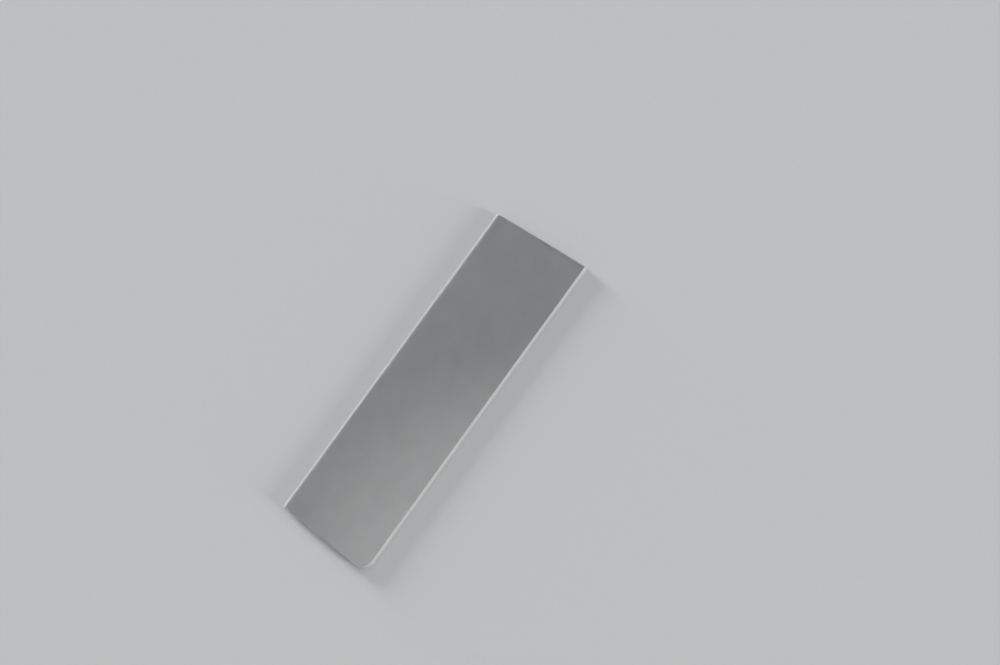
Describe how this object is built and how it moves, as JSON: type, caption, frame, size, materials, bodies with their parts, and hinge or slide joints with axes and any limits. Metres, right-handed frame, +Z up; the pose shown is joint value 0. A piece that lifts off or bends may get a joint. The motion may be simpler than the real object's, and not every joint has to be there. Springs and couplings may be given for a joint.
{
  "type": "microscope slide",
  "caption": "Clear glass microscope slide with ground, finely bevelled edges and one rounded corner.",
  "frame": {"origin": "middle of the underside, the face that the slide lies on", "axes": "+X along the length, +Y across the width, +Z up through the thickness; the rounded corner is at -X, -Y"},
  "size_m": [0.0762, 0.0254, 0.0011],
  "materials": {
    "clear_glass": "polished faces, fine-ground edges"
  },
  "bodies": {
    "root": {"glass_slide": "clear_glass"}
  },
  "joints": []
}
